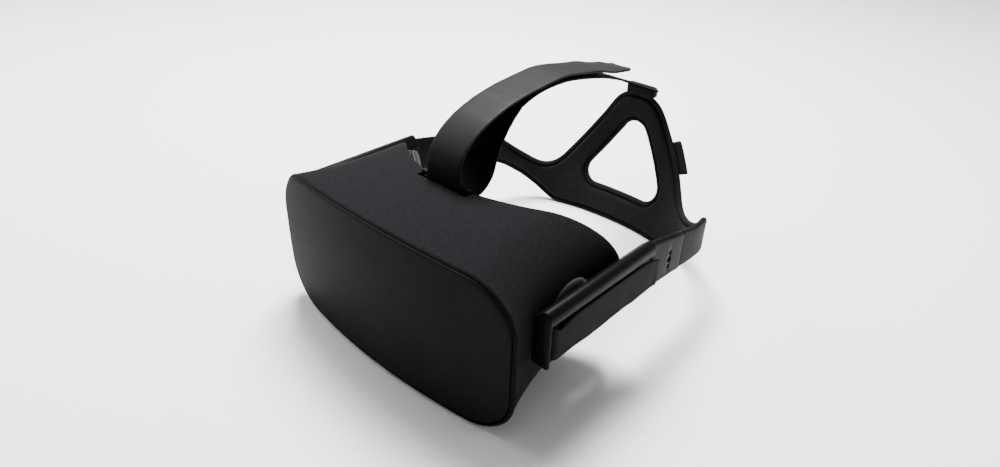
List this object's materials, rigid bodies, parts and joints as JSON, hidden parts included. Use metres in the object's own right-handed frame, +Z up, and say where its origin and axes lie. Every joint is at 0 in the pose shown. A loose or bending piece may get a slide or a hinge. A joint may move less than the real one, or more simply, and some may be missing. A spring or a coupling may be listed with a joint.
{
  "type": "vr headset",
  "caption": "Head-worn VR headset: fabric-covered visor with a satin front plate, pivoting sprung side arms, an open triangular rear cradle and an adjustable top strap.",
  "frame": {"origin": "centre of the bounding box in plan, at its base", "axes": "+Z up, -Y the way the wearer looks, +X the wearer's left"},
  "size_m": [0.1884, 0.2442, 0.131],
  "materials": {
    "aluminium": "satin",
    "arm_plastic": "satin",
    "brass": "satin",
    "circuit": "solder mask",
    "dark_plastic": "matte",
    "display_glass": "polished",
    "foam": "matte foam",
    "glass": "polished",
    "hook_strap": "matte",
    "knit_fabric": "matte knit",
    "pad_fabric": "matte",
    "rubber": "satin",
    "satin_plate": "satin",
    "soft_seal": "matte",
    "steel": "satin",
    "strap_leather": "soft matte"
  },
  "bodies": {
    "visor": {"front_plate": "satin_plate", "seam_gasket": "soft_seal", "tracking_frame": "dark_plastic", "body_shell": "dark_plastic", "fabric_shroud": "knit_fabric", "chassis": "dark_plastic", "chassis_screw_1": "steel", "chassis_screw_2": "steel", "chassis_screw_3": "steel", "chassis_screw_4": "steel", "main_board": "circuit", "heat_spreader": "aluminium", "ipd_rail_upper": "steel", "ipd_rail_lower": "steel", "proximity_sensor": "display_glass", "lens_liner": "knit_fabric", "cable_socket": "dark_plastic", "strap_bracket": "arm_plastic", "pivot_left": "arm_plastic", "pivot_right": "arm_plastic"},
    "face_mask": {"face_frame": "dark_plastic", "face_foam": "foam"},
    "pod_left": {"display_left": "display_glass", "lens_barrel_left": "dark_plastic", "lens_left": "glass", "ipd_rack_left": "dark_plastic"},
    "pod_right": {"display_right": "display_glass", "lens_barrel_right": "dark_plastic", "lens_right": "glass", "ipd_rack_right": "dark_plastic", "ipd_slider": "dark_plastic"},
    "pinion": {"ipd_pinion": "brass"},
    "arms": {"arm_housing_left": "arm_plastic", "arm_housing_right": "arm_plastic", "strap_bar_left": "steel", "strap_bar_right": "steel", "arm_cover_left": "dark_plastic", "arm_cover_right": "dark_plastic", "arm_screw_left": "steel", "arm_screw_right": "steel", "side_strap_left": "hook_strap", "side_strap_right": "hook_strap", "top_strap_front": "strap_leather"},
    "carriage": {"strap_carriage_left": "steel", "strap_carriage_right": "steel", "arm_spring_left": "steel", "arm_spring_right": "steel"},
    "cradle": {"rear_arm_left": "arm_plastic", "rear_arm_right": "arm_plastic", "audio_contacts_left": "brass", "audio_contacts_right": "brass", "cradle_shell": "rubber", "cradle_pad": "pad_fabric", "cable_loop": "hook_strap", "top_strap_rear": "strap_leather", "strap_clip": "strap_leather"}
  },
  "joints": [
    {"name": "face_mask_pull", "type": "slide", "parent": "visor", "child": "face_mask", "axis": [0, 1, 0], "range_m": [0, 0.03]},
    {"name": "ipd_left", "type": "slide", "parent": "visor", "child": "pod_left", "axis": [1, 0, 0], "range_m": [-0.0035, 0.0035]},
    {"name": "ipd_right", "type": "slide", "parent": "visor", "child": "pod_right", "axis": [1, 0, 0], "range_m": [-0.0036, 0.0036]},
    {"name": "ipd_pinion_turn", "type": "hinge", "parent": "visor", "child": "pinion", "pos_m": [0, -0.1056, 0.045], "axis": [0, 1, 0], "range_deg": [-45, 45]},
    {"name": "strap_tilt", "type": "hinge", "parent": "visor", "child": "arms", "pos_m": [0, -0.065, 0.0545], "axis": [1, 0, 0], "range_deg": [-8, 10], "deforming": ["top_strap_front"]},
    {"name": "side_strap_adjust", "type": "slide", "parent": "arms", "child": "carriage", "axis": [0, 1, 0], "range_m": [0, 0.025]},
    {"name": "arm_extend", "type": "slide", "parent": "carriage", "child": "cradle", "axis": [0, 1, 0], "range_m": [0, 0.015], "stiffness_N_per_m": 300, "springref_m": -0.008, "deforming": ["top_strap_rear", "arm_spring_left", "arm_spring_right"]}
  ],
  "couplings": [
    {"joint": "ipd_right", "follows": "ipd_left", "ratio": -1},
    {"joint": "ipd_pinion_turn", "follows": "ipd_left", "rad_per_m": 208.33}
  ]
}
